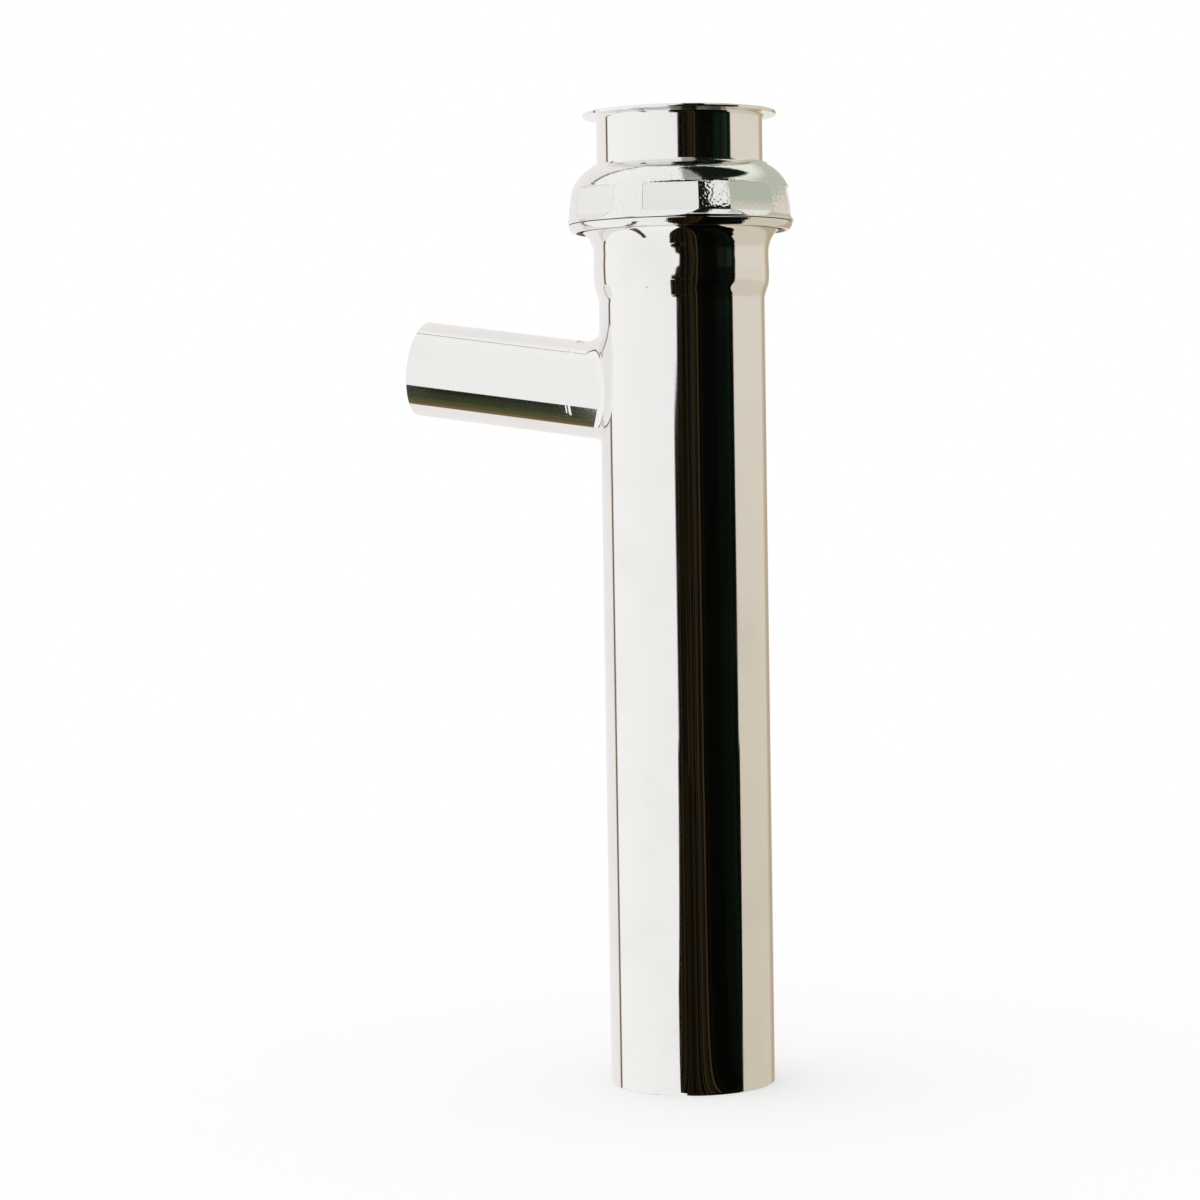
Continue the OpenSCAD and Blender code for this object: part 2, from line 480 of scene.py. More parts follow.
@dataclass
class DrainTube:
    """The drain tube: plain lower end, bell, threaded mouth and the collar drawn out of its wall."""

    line: BranchLine = BranchLine()
    neck: Neck = Neck()
    sized_r: float = 19.05
    sized_l: float = 140.0
    taper: float = 1.0
    full_r: float = 19.07
    wall: float = 0.8
    shoulder: Point = (180.8, 185.0)
    bell_r: float = 20.15
    flare_z: float = 192.0
    flare_r: float = 5.6
    mouth_r: float = 22.5
    top: float = 203.2
    steps: int = 240
    window_low: float = 142.0
    window_columns: int = 34
    window_rows: int = 38
    neck_steps: int = 12
    collar_reach: float = 26.8
    ripple: float = 0.05
    ripple_crest: float = 187.5
    ripple_length: float = 7.2
    surface: dict = field(default_factory=dict)

    @property
    def window_high(self) -> float:
        """Top of the part of the wall that is rebuilt round the branch."""
        return self.shoulder[0]

    @property
    def step(self) -> float:
        """Angle of one step round the tube, in radians."""
        return FULL_TURN / self.steps

    def outside(self) -> list[Point]:
        """Outline of the outer wall, from the lower rim to the mouth."""
        edge, rim = 0.18, 0.25
        swing = math.degrees(math.acos(1 - (self.mouth_r - self.bell_r) / self.flare_r))
        flare_centre = (self.bell_r + self.flare_r, self.flare_z)
        flare = arc(flare_centre, self.flare_r, 180, 180 - swing, 22)
        return chained(
            arc((self.sized_r - edge, edge), edge, -90, 0, 4),
            straight((self.sized_r, edge), (self.sized_r, self.sized_l), 34),
            straight((self.full_r, self.sized_l + self.taper), (self.full_r, self.window_low), 1),
            straight((self.full_r, self.window_low), (self.full_r, self.window_high), self.window_rows),
            rise(self.full_r, self.bell_r, *self.shoulder, 16),
            straight((self.bell_r, self.shoulder[1]), (self.bell_r, self.flare_z), 18),
            flare,
            straight(flare[-1], (self.mouth_r, self.top - rim), 6),
            arc((self.mouth_r - rim, self.top - rim), rim, 0, 90, 4),
        )

    def inside(self) -> list[Point]:
        """Outline of the inner wall, from the mouth down to the lower rim."""
        edge, thin = 0.12, self.wall
        swing = math.degrees(math.acos(1 - (self.mouth_r - self.bell_r) / self.flare_r))
        flare_centre = (self.bell_r - thin + self.flare_r, self.flare_z)
        upward = chained(
            arc((self.sized_r - thin + edge, edge), edge, -90, -180, 3),
            straight((self.sized_r - thin, self.sized_l), (self.sized_r - thin, self.sized_l), 1),
            straight((self.full_r - thin, self.sized_l + self.taper), (self.full_r - thin, self.window_low), 1),
            straight((self.full_r - thin, self.window_low), (self.full_r - thin, self.window_high), self.window_rows),
            rise(self.full_r - thin, self.bell_r - thin, *self.shoulder, 10),
            straight((self.bell_r - thin, self.shoulder[1]), (self.bell_r - thin, self.flare_z), 2),
            arc(flare_centre, self.flare_r, 180, 180 - swing, 12),
            straight((self.mouth_r - thin, self.top - edge), (self.mouth_r - thin, self.top - edge), 1),
            arc((self.mouth_r - thin + edge, self.top - edge), edge, 180, 90, 3),
        )
        return upward[::-1]

    def window_rim(self, radius: float) -> list[Vector]:
        """Corners of the window's rim, in order round it.

        Args:
            radius: radius of the wall that the window is cut in.

        Returns:
            The corners in millimetres, from the middle of the top edge towards +Y.
        """
        columns, rows = self.window_columns, self.window_rows
        tall = (self.window_high - self.window_low) / rows
        across = [(i, 0) for i in range(columns)]
        down = [(columns, j) for j in range(rows)]
        back = [(columns - i, rows) for i in range(2 * columns)]
        up = [(-columns, rows - j) for j in range(rows)]
        rest = [(-columns + i, 0) for i in range(columns)]
        corners = []
        for column, row in across + down + back + up + rest:
            angle = math.pi - column * self.step
            corners.append(Vector((radius * math.cos(angle), radius * math.sin(angle), self.window_high - row * tall)))
        return corners

    def ring_angles(self) -> list[float]:
        """Angles round the branch that face the corners of the window's rim, in radians."""
        high = self.neck.corner(0, 1, 0)[0].z
        low = self.neck.corner(math.pi, 1, 0)[0].z
        middle, half_high = (high + low) / 2, (high - low) / 2
        side = self.neck.corner(math.pi / 2, 1, 0)[0]
        half_wide = self.full_r * math.atan2(side.y, -side.x)
        angles = []
        for corner in self.window_rim(self.full_r):
            across = self.full_r * math.atan2(corner.y, -corner.x)
            angles.append(math.atan2(across / half_wide, (corner.z - middle) / half_high))
        return angles

    def rings(self) -> list[list[tuple[Vector, Vector]]]:
        """Rings of the collar with the way that each point faces, from the outer wall round to the inner one."""
        line, angles, found = self.line, self.ring_angles(), []
        for i in range(self.neck_steps + 1):
            share = 1 - i / self.neck_steps
            found.append([self.neck.corner(a, share, 0) for a in angles])
        for radius, reach, facing in (
            (line.collar_r, self.collar_reach - 0.9, 1),
            (line.collar_r, self.collar_reach, 0),
            (line.collar_r - self.wall, self.collar_reach, 0),
            (line.collar_r - self.wall, self.collar_reach - 1.5, -1),
        ):
            found.append([
                (line.start + line.along * reach + line.spoke(a) * radius, line.spoke(a) * facing) for a in angles
            ])
        for i in range(self.neck_steps + 1):
            share = i / self.neck_steps
            found.append([(p, -n) for p, n in (self.neck.corner(a, share, self.wall) for a in angles)])
        return found

    def cut_window(self, piece: bpy.types.Object) -> None:
        """Takes the wall away, outside and inside, where the collar stands."""
        reach = (self.window_columns + 0.01) * self.step
        middle_z = (self.window_low + self.window_high) / 2
        half_tall = (self.window_high - self.window_low) / 2

        def in_window(face: bmesh.types.BMFace) -> bool:
            """Whether a face of the wall lies in the window."""
            place = face.calc_center_median() / MM
            return abs(math.atan2(place.y, -place.x)) < reach and abs(place.z - middle_z) < half_tall

        Workbench.select(piece, "FACE", in_window)
        bpy.ops.mesh.delete(type="FACE")

    def draw_collar(self, piece: bpy.types.Object) -> None:
        """Draws the neck and collar ring by ring, by extruding a circle, in edit mode."""
        rings = self.rings()
        count = len(rings[0])
        bpy.ops.mesh.select_mode(type="VERT")
        bpy.ops.mesh.select_all(action="DESELECT")
        bpy.ops.mesh.primitive_circle_add(vertices=count, radius=1.0, location=(0, 0, 0))
        here = [Vector((math.sin(FULL_TURN * i / count), math.cos(FULL_TURN * i / count), 0)) for i in range(count)]
        for number, ring in enumerate(rings):
            if number:
                bpy.ops.mesh.extrude_region()
            finder = kdtree.KDTree(count)
            for i, place in enumerate(here):
                finder.insert(place, i)
            finder.balance()
            cage = bmesh.from_edit_mesh(piece.data)
            there = [point * MM for point, _ in ring]
            for corner in [v for v in cage.verts if v.select]:
                corner.co = there[finder.find(corner.co)[1]]
            bmesh.update_edit_mesh(piece.data)
            here = there
        for ring in rings:
            for point, facing in ring:
                if facing.length > 0:
                    self.surface[tuple(round(c, 3) for c in point)] = facing

    def bridge(self, piece: bpy.types.Object, radius: float) -> None:
        """Bridges the rim of a window to the neck's ring on the same wall.

        Args:
            piece: the tube, in edit mode.
            radius: radius of the wall.
        """

        def on_wall(edge: bmesh.types.BMEdge) -> bool:
            """Whether an open edge lies on this wall."""
            return edge.is_boundary and all(
                abs(math.hypot(v.co.x, v.co.y) / MM - radius) < 0.004 for v in edge.verts
            )

        Workbench.select(piece, "EDGE", on_wall)
        bpy.ops.mesh.bridge_edge_loops(type="SINGLE", number_cuts=9, interpolation="LINEAR")
        cage = bmesh.from_edit_mesh(piece.data)
        for corner in cage.verts:
            away = math.hypot(corner.co.x, corner.co.y) / MM
            if corner.co.x < 0 and radius - 0.68 < away < radius - 1e-5 and self.window_low < corner.co.z / MM < self.window_high:
                corner.co.x *= radius / away
                corner.co.y *= radius / away
        bmesh.update_edit_mesh(piece.data)

    def face_true(self, piece: bpy.types.Object) -> None:
        """Gives the wall round the branch and the neck the exact way that their surfaces face."""
        known = {}
        for corner in piece.data.vertices:
            place = corner.co / MM
            away = math.hypot(place.x, place.y)
            key = tuple(round(c, 3) for c in place)
            level = self.window_low - 0.5 < place.z < self.window_high - 0.5 and place.x < 0
            if abs(away - self.full_r) < 0.002 and level:
                known[corner.index] = (place.x / away, place.y / away, 0)
            elif place.x < -19.3 and self.surface.get(key, 0):
                known[corner.index] = tuple(self.surface[key])
        own = [tuple(normal.vector) for normal in piece.data.corner_normals]
        facings = [known.get(loop.vertex_index, own[loop.index]) for loop in piece.data.loops]
        piece.data.normals_split_custom_set(facings)

    def rippled(self, place: Vector) -> Vector | None:
        """Gives the bell the shallow ripples that swaging leaves.

        Args:
            place: a corner of the tube in metres.

        Returns:
            Its new place, or None where the wall is true.
        """
        height = place.z / MM
        fade = min(1.0, (height - self.shoulder[0]) / 2.5, (196.4 - height) / 2.5)
        if fade <= 0:
            return None
        angle = math.atan2(place.y, place.x)
        wave = FULL_TURN * (height - self.ripple_crest) / self.ripple_length
        swell = self.ripple * (0.8 + 0.25 * math.sin(2 * angle + 0.7)) * math.cos(wave + 0.5 * math.sin(3 * angle))
        dimple = 0.10 * self.ripple * math.sin(2.3 * wave + 5 * angle) * math.sin(9 * angle + 1.3)
        radius = math.hypot(place.x, place.y)
        grown = 1 + fade * (swell + dimple) * MM / radius
        return Vector((place.x * grown, place.y * grown, place.z))

    def build(self) -> bpy.types.Object:
        """Makes the tube.

        Returns:
            The finished mesh.
        """
        piece = Workbench.turn("belled_tube", self.outside() + self.inside(), steps=self.steps)
        Workbench.pick_up(piece, edit=True)
        self.cut_window(piece)
        self.draw_collar(piece)
        self.bridge(piece, self.full_r)
        self.bridge(piece, self.full_r - self.wall)
        Workbench.close_up(piece)
        bpy.ops.object.mode_set(mode="OBJECT")
        reshape(piece, self.rippled)
        thread = ThreadRidge(root=self.mouth_r, crest=23.3, low=197.5, high=203.1).build("mouth_thread")
        Workbench.join(piece, thread)
        Workbench.smooth(piece)
        self.face_true(piece)
        return piece


@dataclass
class BranchTube:
    """The branch: a plain tube whose end is reduced to fit inside the collar."""

    line: BranchLine = BranchLine()
    bore: float = 10.3
    reach: float = 65.0
    seam: float = 26.8
    spigot_l: float = 4.5
    spigot_r: float = 10.25
    spigot_bore: float = 9.45

    def build(self) -> bpy.types.Object:
        """Turns the branch on its own axis.

        Returns:
            The finished mesh.
        """
        outer, edge = self.line.collar_r, 0.16
        outline = chained(
            [(self.spigot_bore, self.seam - self.spigot_l), (self.spigot_r, self.seam - self.spigot_l)],
            [(self.spigot_r, self.seam), (outer, self.seam)],
            straight((outer, self.seam + 0.2), (outer, self.reach - edge), 12),
            arc((outer - edge, self.reach - edge), edge, 0, 90, 4),
            arc((self.bore + edge, self.reach - edge), edge, 90, 180, 4),
            straight((self.bore, self.reach - edge), (self.bore, self.seam + 1.5), 6),
            rise(self.bore, self.spigot_bore, self.seam + 1.5, self.seam, 6),
        )
        piece = Workbench.turn("branch_pipe", outline, self.line.axis(), steps=192)
        Workbench.smooth(piece)
        return piece


@dataclass
class BrazeBead:
    """The bead of braze round the seam: low, a little uneven, and run down towards the tube."""

    line: BranchLine = BranchLine()
    seam: float = 26.8
    width: float = 1.3
    height: float = 0.035
    root: float = 0.25
    run_down: float = 1.9
    fades_from: float = 119.0
    sinks: float = 1.8

    def build(self) -> bpy.types.Object:
        """Makes the bead.

        Returns:
            The finished mesh.
        """
        outer = self.line.collar_r
        swell = (self.width ** 2 / 4 + self.height ** 2) / (2 * self.height)
        half = math.degrees(math.asin(self.width / 2 / swell))
        outline = chained(
            arc((outer + self.height - swell, self.seam), swell, -half, half, 10),
            [(outer - self.root, self.seam + 0.02), (outer - 0.02, self.seam)],
        )
        piece = Workbench.turn("braze_bead", outline, self.line.axis(), steps=192)
        Workbench.smooth(piece, 40)
        reshape(piece, self.unsettle)
        return piece

    def unsettle(self, place: Vector) -> Vector:
        """Gives the bead the slight swells of hand brazing.

        Args:
            place: a corner in metres.

        Returns:
            Its new place.
        """
        line = self.line
        offset = place / MM - line.start
        reach = offset.dot(line.along)
        across = offset - line.along * reach
        angle = math.atan2(across.y, across.dot(line.up))
        swell = 0.10 * math.sin(5 * angle + 0.6) + 0.07 * math.sin(11 * angle + 2.0) + 0.05 * math.sin(23 * angle)
        drift = 0.12 * math.sin(3 * angle + 1.1) + 0.06 * math.sin(8 * angle + 0.4)
        proud = max(0.0, across.length - line.collar_r)
        sunk = max(0.0, min(1.0, (math.degrees(abs(angle)) - self.fades_from) / 7)) * self.sinks
        across = across * (1 + proud * (swell * 1.6 - sunk) / across.length)
        lower = self.run_down * (1 - math.cos(angle))
        moved = line.start + line.along * (reach + drift - lower) + across
        return moved * MM


@dataclass
class SlipNut:
    """The cast slip nut: a leaning skirt over a beaded rim, a domed top, flats and a thread inside."""

    low: float = 196.5
    high: float = 211.8
    bore: float = 23.5
    lip_r: float = 19.6
    flats: int = 8
    half_flat: float = 14.1
    turned: float = 13.0
    skirt_centre: Point = (-9.102, 198.168)
    skirt_arc: float = 35.0
    flat_top: float = 206.05
    shoulder: float = 0.25
    ledge_z: float = 199.9
    ledge_lean: float = 0.75
    columns: int = 56

    def outline(self) -> list[Point]:
        """Outline of the nut, from the foot up the outside and down the inside."""
        lip = 0.35
        dome_centre, dome_r = (15.685, 202.697), 9.9
        return chained(
            arc((24.771, 196.7), 0.2, -90, -46, 3),
            arc((23.0, 198.534), 2.75, -46, -8, 12),
            [(25.7, 198.24), (25.45, 198.28), (25.48, 198.36)],
            arc((25.78, 198.72), 0.318, -95, 30, 14),
            [(25.97, 199.15), (25.91, 199.35), (25.88, 199.55), (25.86, 199.75), (25.855, 199.9)],
            arc(self.skirt_centre, self.skirt_arc, 3, 13, 40),
            arc(dome_centre, dome_r, 19.8, 31, 16),
            arc(dome_centre, dome_r, 31, 62, 18),
            arc((self.lip_r + 0.45, self.high - 0.32), 0.32, 75, 180, 5),
            straight((self.lip_r, self.high - lip), (self.lip_r, 209.4), 2),
            [(20.8, 209.4), (22.6, 206.178), (self.bore, 205.378), (self.bore, 197.1), (24.1, self.low)],
        )

    def build(self) -> bpy.types.Object:
        """Makes the nut.

        Returns:
            The finished mesh.
        """
        piece = Workbench.turn("slip_nut_casting", self.outline(), steps=self.flats * self.columns)
        places = self.column_angles()
        reshape(piece, lambda place: self.gather(place, places))
        reshape(piece, self.grind)
        thread = ThreadRidge(root=self.bore, crest=22.7, low=197.3, high=205.0, phase=180).build("nut_thread")
        Workbench.join(piece, thread)
        Workbench.smooth(piece, 28)
        self.mark_ground(piece)
        return piece

    def column_angles(self) -> list[float]:
        """Angles of the columns of one flat, from its middle, closer together at the flat's two edges.

        Returns:
            The angles in degrees.
        """
        half, near, extra = 180 / self.flats, 1.0, 4.5

        def filled(angle: float) -> float:
            """Share of columns used up to an angle."""
            swept = math.erf((angle - self.half_flat) / near) + math.erf((angle + self.half_flat) / near)
            return angle + extra * near * swept

        angles = []
        for column in range(self.columns):
            wanted = filled(-half) + (filled(half) - filled(-half)) * column / self.columns
            low, high = -half, half
            for _ in range(40):
                middle = (low + high) / 2
                low, high = (middle, high) if filled(middle) < wanted else (low, middle)
            angles.append((low + high) / 2)
        return angles

    def gather(self, place: Vector, angles: Sequence[float]) -> Vector:
        """Moves a corner round to its column's angle.

        Args:
            place: the corner in metres.
            angles: angles of the columns of one flat.

        Returns:
            Its new place.
        """
        radius = math.hypot(place.x, place.y)
        step = 360 / (self.flats * self.columns)
        number = round(math.degrees(math.atan2(place.y, place.x)) / step) % (self.flats * self.columns)
        flat, column = divmod(number, self.columns)
        angle = math.radians(self.turned + 360 * flat / self.flats + angles[column])
        return Vector((radius * math.cos(angle), radius * math.sin(angle), place.z))

    def off_flat(self, place: Vector) -> float:
        """Angle in degrees between a place and the middle of the nearest flat."""
        sector = 360 / self.flats
        return (math.degrees(math.atan2(place.y, place.x)) - self.turned + sector / 2) % sector - sector / 2

    def grind(self, place: Vector) -> Vector | None:
        """Sets a corner of the outside back to the flat, to the ledge under it or to the shoulder above it.

        Args:
            place: the corner in metres.

        Returns:
            Its new place, or None where the nut stays round.
        """
        radius, height, off = math.hypot(place.x, place.y) / MM, place.z / MM, self.off_flat(place)
        top = self.flat_top + self.shoulder
        if radius < 24.5 or not self.ledge_z - 1.6 < height < top or abs(off) > self.half_flat:
            return None
        middle, spread = math.cos(math.radians(self.half_flat)), math.cos(math.radians(off))
        if height < self.ledge_z:
            above = self.skirt_centre[0] + math.sqrt(
                self.skirt_arc ** 2 - (self.ledge_z - self.skirt_centre[1]) ** 2
            )
            new = min(radius, (above * middle + (self.ledge_z - height) * self.ledge_lean) / spread)
        else:
            set_back = min(1.0, (top - height) / self.shoulder)
            new = radius * (1 - set_back * (1 - middle / spread))
        return Vector((place.x * new / radius, place.y * new / radius, place.z))

    def mark_ground(self, piece: bpy.types.Object) -> None:
        """Marks the flats in a corner attribute, for the finish."""
        marks = piece.data.attributes.new("ground", "FLOAT", "POINT")
        for corner in piece.data.vertices:
            level = self.ledge_z < corner.co.z / MM < self.flat_top + 0.01
            outside = math.hypot(corner.co.x, corner.co.y) / MM > 24.1
            on_flat = level and outside and abs(self.off_flat(corner.co)) < self.half_flat
            marks.data[corner.index].value = 1.0 if on_flat else 0.0


@dataclass
class SlipWasher:
    """The bevelled rubber washer."""

    bore: float = 19.13
    outer: float = 22.4
    low: float = 203.25
    side_top: float = 206.178
    top: float = 209.35
    top_r: float = 20.6

    def build(self) -> bpy.types.Object:
        """Turns the washer.

        Returns:
            The finished mesh.
        """
        edge = 0.2
        outline = chained(
            [(self.bore, self.low + edge), (self.bore + edge, self.low)],
            arc((self.outer - edge, self.low + edge), edge, -90, 0, 4),
            [(self.outer, self.side_top - edge), (self.outer - 0.1, self.side_top + edge)],
            arc((self.top_r - edge, self.top - edge), edge, 30, 90, 4),
            [(self.bore + edge, self.top), (self.bore, self.top - edge)],
        )
        piece = Workbench.turn("bevelled_washer", outline, steps=160)
        Workbench.smooth(piece, 35)
        return piece


@dataclass
class InletTube:
    """The short inlet tube with its rolled flange."""

    low: float = 184.16
    high: float = 223.66
    outer: float = 19.05
    bore: float = 18.25
    flange: float = 22.2
    bend: float = 1.0

    def build(self) -> bpy.types.Object:
        """Turns the inlet tube.

        Returns:
            The finished mesh.
        """
        wall = self.outer - self.bore
        centre = (self.outer + self.bend, self.high - wall - self.bend)
        edge, rim = 0.14, 0.22
        outline = chained(
            arc((self.bore + edge, self.low + edge), edge, 180, 270, 3),
            arc((self.outer - edge, self.low + edge), edge, -90, 0, 3),
            straight((self.outer, self.low + edge), (self.outer, centre[1]), 10),
            arc(centre, self.bend, 180, 90, 12),
            arc((self.flange - rim, self.high - wall + rim), rim, -90, 0, 5),
            arc((self.flange - rim, self.high - rim), rim, 0, 90, 5),
            arc(centre, self.bend + wall, 90, 180, 14),
            straight((self.bore, centre[1]), (self.bore, self.low + edge), 8),
        )
        piece = Workbench.turn("flanged_inlet", outline, steps=240)
        Workbench.smooth(piece)
        return piece


# Shader maths


def display(red: float, green: float, blue: float, gain: float = 1.0) -> tuple[float, float, float, float]:
    """A colour as light, from its values on a display.

    Args:
        red: red from 0 to 255.
        green: green from 0 to 255.
        blue: blue from 0 to 255.
        gain: factor on the light.

    Returns:
        The linear colour with full alpha.
    """
    linear = [((c / 255 + 0.055) / 1.055) ** 2.4 if c > 10 else c / 255 / 12.92 for c in (red, green, blue)]
    return linear[0] * gain, linear[1] * gain, linear[2] * gain, 1.0


class Wire:
    """A node's socket that takes part in plain arithmetic."""

    def __init__(self, net: "Net", socket: bpy.types.NodeSocket) -> None:
        """Keeps the socket and the net that it belongs to."""
        self.net = net
        self.socket = socket

    def __add__(self, other: "Wire | float") -> "Wire":
        """self + other."""
        return self.net.maths("ADD", self, other)

    def __radd__(self, other: float) -> "Wire":
        """other + self."""
        return self.net.maths("ADD", other, self)

    def __sub__(self, other: "Wire | float") -> "Wire":
        """self - other."""
        return self.net.maths("SUBTRACT", self, other)

    def __rsub__(self, other: float) -> "Wire":
        """other - self."""
        return self.net.maths("SUBTRACT", other, self)

    def __mul__(self, other: "Wire | float") -> "Wire":
        """self * other."""
        return self.net.maths("MULTIPLY", self, other)

    def __rmul__(self, other: float) -> "Wire":
        """other * self."""
        return self.net.maths("MULTIPLY", other, self)

    def __truediv__(self, other: "Wire | float") -> "Wire":
        """self / other."""
        return self.net.maths("DIVIDE", self, other)

    def __rtruediv__(self, other: float) -> "Wire":
        """other / self."""
        return self.net.maths("DIVIDE", other, self)

    def __neg__(self) -> "Wire":
        """-self."""
        return self.net.maths("MULTIPLY", self, -1.0)


Feed = Wire | float | Sequence[float]


class Net:
    """The nodes of one material or world."""

    def __init__(self, tree: bpy.types.NodeTree) -> None:
        """Takes over a node tree and empties it."""
        self.tree = tree
        tree.nodes.clear()

    def node(self, kind: str, settings: dict | None = None, inputs: dict | None = None) -> bpy.types.Node:
        """Adds any node.

        Args:
            kind: the node's type.
            settings: its settings, and "stops" for a ramp as a list of place and colour.
            inputs: what feeds its sockets, by name or number.

        Returns:
            The node.
        """
        made = self.tree.nodes.new(kind)
        for key, value in (settings or {}).items():
            if key == "stops":
                self.set_stops(made.color_ramp, value)
            else:
                setattr(made, key, value)
        for key, value in (inputs or {}).items():
            if isinstance(value, Wire):
                self.tree.links.new(value.socket, made.inputs[key])
            else:
                made.inputs[key].default_value = value
        return made

    @staticmethod
    def set_stops(ramp: bpy.types.ColorRamp, stops: Sequence[tuple[float, Sequence[float]]]) -> None:
        """Sets the stops of a ramp."""
        while len(ramp.elements) > 1:
            ramp.elements.remove(ramp.elements[-1])
        ramp.elements[0].position, ramp.elements[0].color = stops[0]
        for place, colour in stops[1:]:
            ramp.elements.new(place).color = colour

    def wire(self, node: bpy.types.Node, output: str | int = 0) -> Wire:
        """One of a node's outputs, ready for arithmetic."""
        return Wire(self, node.outputs[output])

    def maths(self, operation: str, *values: Feed) -> Wire:
        """Adds a Math node.

        Args:
            operation: the node's operation.
            values: what feeds its sockets, in order.

        Returns:
            Its result.
        """
        return self.wire(self.node("ShaderNodeMath", {"operation": operation}, dict(enumerate(values))))

    def step(self, value: Feed, low: float, high: float) -> Wire:
        """A smooth step from 0 at low to 1 at high. High may be the lesser."""
        if low > high:
            return 1.0 - self.step(value, high, low)
        inputs = {0: value, 1: low, 2: high}
        return self.wire(self.node("ShaderNodeMapRange", {"interpolation_type": "SMOOTHSTEP"}, inputs))

    def span(self, value: Feed, low: float, high: float, soft: float) -> Wire:
        """1 between two values and 0 beyond them, with soft ends."""
        return self.step(value, low - soft / 2, low + soft / 2) * self.step(value, high + soft / 2, high - soft / 2)

    def blend(self, share: Feed, first: Feed, second: Feed, how: str = "MIX") -> Wire:
        """Mixes two colours.

        Args:
            share: share of the second colour.
            first: the first colour.
            second: the second colour.
            how: the node's way of blending.

        Returns:
            The mixed colour.
        """
        made = self.node("ShaderNodeMix", {"data_type": "RGBA", "blend_type": how}, {0: share, 6: first, 7: second})
        return self.wire(made, 2)

    def vector(self, operation: str, *values: Feed) -> Wire:
        """Adds a Vector Math node and gives its vector, or its value for a dot product or a length."""
        made = self.node("ShaderNodeVectorMath", {"operation": operation}, dict(enumerate(values)))
        return self.wire(made, 1 if operation in ("DOT_PRODUCT", "LENGTH") else 0)

    def noise(self, where: Wire, size: float, detail: float = 2.0, rough: float = 0.5) -> Wire:
        """Noise of about one swell per size in metres, from 0 to 1."""
        inputs = {"Vector": where, "Scale": 1 / size, "Detail": detail, "Roughness": rough}
        return self.wire(self.node("ShaderNodeTexNoise", None, inputs))

    def bump(self, height: Wire, depth: float, after: Wire | None = None) -> Wire:
        """Tilts the surface by a height.

        Args:
            height: height from 0 to 1.
            depth: what a height of 1 means, in metres.
            after: the normal of an earlier bump.

        Returns:
            The new normal.
        """
        inputs = {"Strength": 1.0, "Distance": depth, "Height": height}
        if after is not None:
            inputs["Normal"] = after
        return self.wire(self.node("ShaderNodeBump", None, inputs))


# Finishes


@dataclass(frozen=True)
class Finish:
    """What every finish has: a material whose Principled shader it feeds."""

    name: str = "finish"

    def start(self) -> tuple[bpy.types.Material, Net]:
        """Makes an empty node material."""
        material = bpy.data.materials.new(self.name)
        material.use_nodes = True
        return material, Net(material.node_tree)

    @staticmethod
    def end(net: Net, inputs: dict) -> None:
        """Ends the nodes in a Principled shader.

        Args:
            net: the material's nodes.
            inputs: what feeds the shader's sockets.
        """
        shader = net.node("ShaderNodeBsdfPrincipled", None, inputs)
        net.node("ShaderNodeOutputMaterial", None, {"Surface": net.wire(shader)})

    @staticmethod
    def lay(net: Net, axis: Axis) -> tuple[Wire, Wire]:
        """Coordinates of a turned piece about its own axis.

        Args:
            net: the material's nodes.
            axis: the piece's axis.

        Returns:
            The place with the axis on Z, and how far the surface faces away from the axis.
        """
        coordinates = net.node("ShaderNodeTexCoord")
        turn = (0, math.atan2(axis.along.x, axis.along.z), 0)
        settings = {"vector_type": "TEXTURE"}
        inputs = {"Vector": net.wire(coordinates, "Object"), "Location": axis.start * MM, "Rotation": turn}
        place = net.wire(net.node("ShaderNodeMapping", settings, inputs))
        normal_settings = {"vector_type": "TEXTURE"}
        normal_inputs = {"Vector": net.wire(coordinates, "Normal"), "Location": (0, 0, 0), "Rotation": turn}
        normal = net.wire(net.node("ShaderNodeMapping", normal_settings, normal_inputs))
        outwards = net.vector("NORMALIZE", net.vector("MULTIPLY", place, (1, 1, 0)))
        return place, net.vector("DOT_PRODUCT", outwards, normal)


